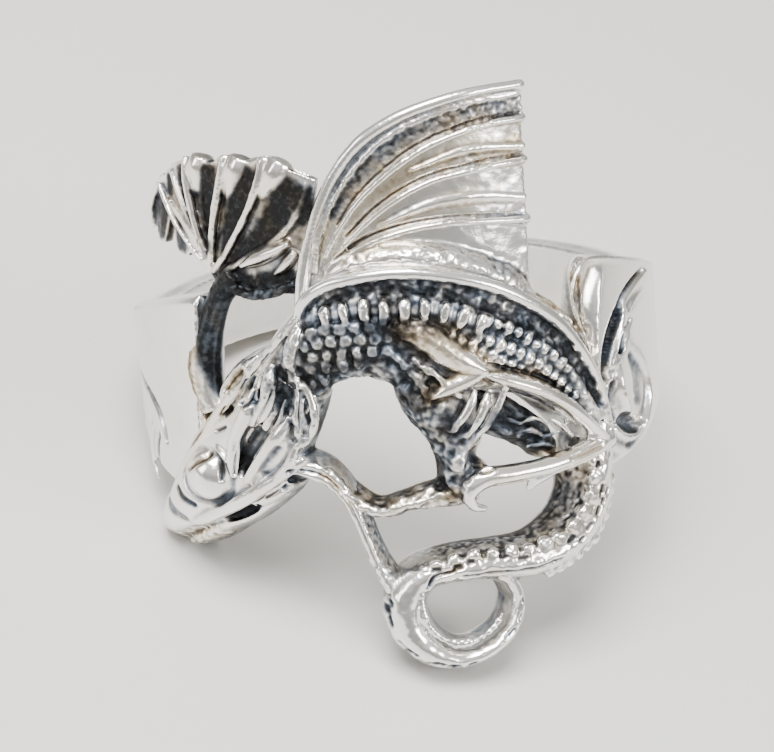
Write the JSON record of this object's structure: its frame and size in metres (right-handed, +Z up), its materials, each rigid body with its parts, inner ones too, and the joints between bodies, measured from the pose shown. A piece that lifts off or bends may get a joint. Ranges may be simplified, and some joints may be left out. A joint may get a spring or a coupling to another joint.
{
  "type": "dragon ring",
  "caption": "Finger ring cast as a dragon lying along the front of a band, with a raised wing, a fan-shaped wing, a looped tail and scrolled shoulders.",
  "frame": {"origin": "on the surface the ring lies on, under the middle of its bounding box", "axes": "+Z up, -Y towards the side with the dragon, +X to the dragon's haunch. The ring lies as it was pictured: on its tail loop, the curl of its left shoulder and the back edge of its band, so the finger hole's axis leans back and to the left"},
  "size_m": [0.0244, 0.0266, 0.023],
  "materials": {
    "oxidised_silver": "oxidised sterling silver, polished on its high points"
  },
  "bodies": {
    "root": {"dragon_ring": "oxidised_silver"}
  },
  "joints": []
}
